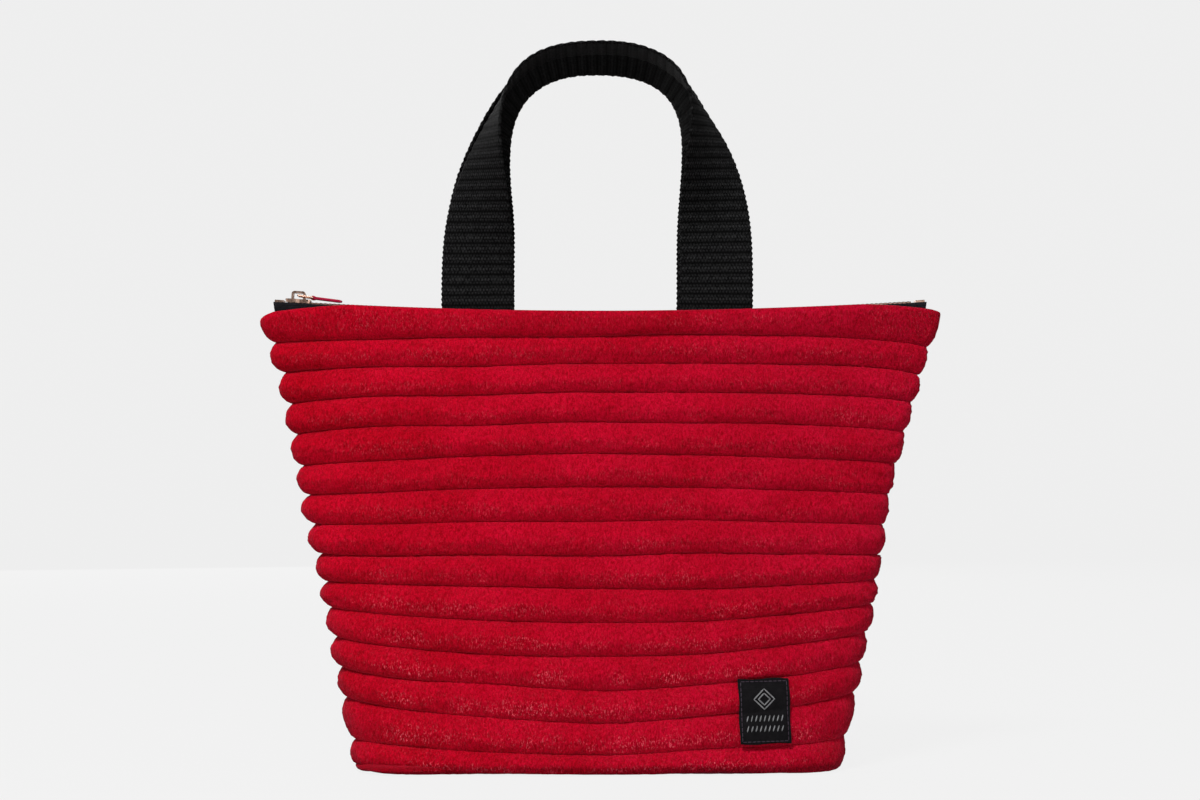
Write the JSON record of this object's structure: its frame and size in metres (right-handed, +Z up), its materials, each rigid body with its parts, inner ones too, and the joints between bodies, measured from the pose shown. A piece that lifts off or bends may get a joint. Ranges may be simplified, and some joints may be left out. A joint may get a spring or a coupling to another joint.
{
  "type": "zip-top tote bag",
  "caption": "Small padded plush tote bag with a boxed base, a zipped top, two webbing carrying handles and a sewn-on label.",
  "frame": {"origin": "centre of the base on the ground", "axes": "+X along the zip towards its closed bottom stop, -Y out of the labelled front, +Z up"},
  "size_m": [0.358, 0.0954, 0.3781],
  "materials": {
    "plush": "deep-pile ribbed plush",
    "padding": "soft open foam",
    "board": "matt",
    "lining": "plain woven",
    "zip_tape": "herringbone woven",
    "zip_metal": "worn antique",
    "copper_metal": "satin rose copper",
    "pull_cord": "satin",
    "webbing": "heavy ribbed weave",
    "label": "fine woven",
    "thread": "twisted thread"
  },
  "bodies": {
    "bag": {"front_panel": "plush", "back_panel": "plush", "base_panel": "plush", "foam_front": "padding", "foam_back": "padding", "foam_base": "padding", "base_board": "board", "lining_front": "lining", "lining_back": "lining", "lining_base": "lining", "zip_tape_front": "zip_tape", "zip_tape_back": "zip_tape", "teeth_front": "zip_metal", "teeth_back": "zip_metal", "top_stops": "copper_metal", "bottom_stop": "copper_metal", "front_handle_tails": "webbing", "back_handle_tails": "webbing", "label": "label", "label_stitching": "thread"},
    "slider": {"slider": "copper_metal"},
    "pull": {"pull_link": "copper_metal", "pull_tab": "pull_cord"},
    "front_handle": {"front_handle": "webbing"},
    "back_handle": {"back_handle": "webbing"}
  },
  "joints": [
    {"name": "zip_slide", "type": "hinge", "parent": "bag", "child": "slider", "pos_m": [0, 0, 2.9374], "axis": [0, -1, 0], "range_deg": [0, 6.76], "deforming": ["teeth_front", "teeth_back", "zip_tape_front", "zip_tape_back"]},
    {"name": "pull_hinge", "type": "hinge", "parent": "slider", "child": "pull", "pos_m": [-0.15952, 0, 0.24672], "axis": [0, -1, 0], "range_deg": [0, 180]},
    {"name": "front_handle_fold", "type": "hinge", "parent": "bag", "child": "front_handle", "pos_m": [0, -0.0103, 0.24], "axis": [1, 0, 0], "range_deg": [0, 150]},
    {"name": "back_handle_fold", "type": "hinge", "parent": "bag", "child": "back_handle", "pos_m": [0, 0.0103, 0.24], "axis": [-1, 0, 0], "range_deg": [0, 150]}
  ]
}
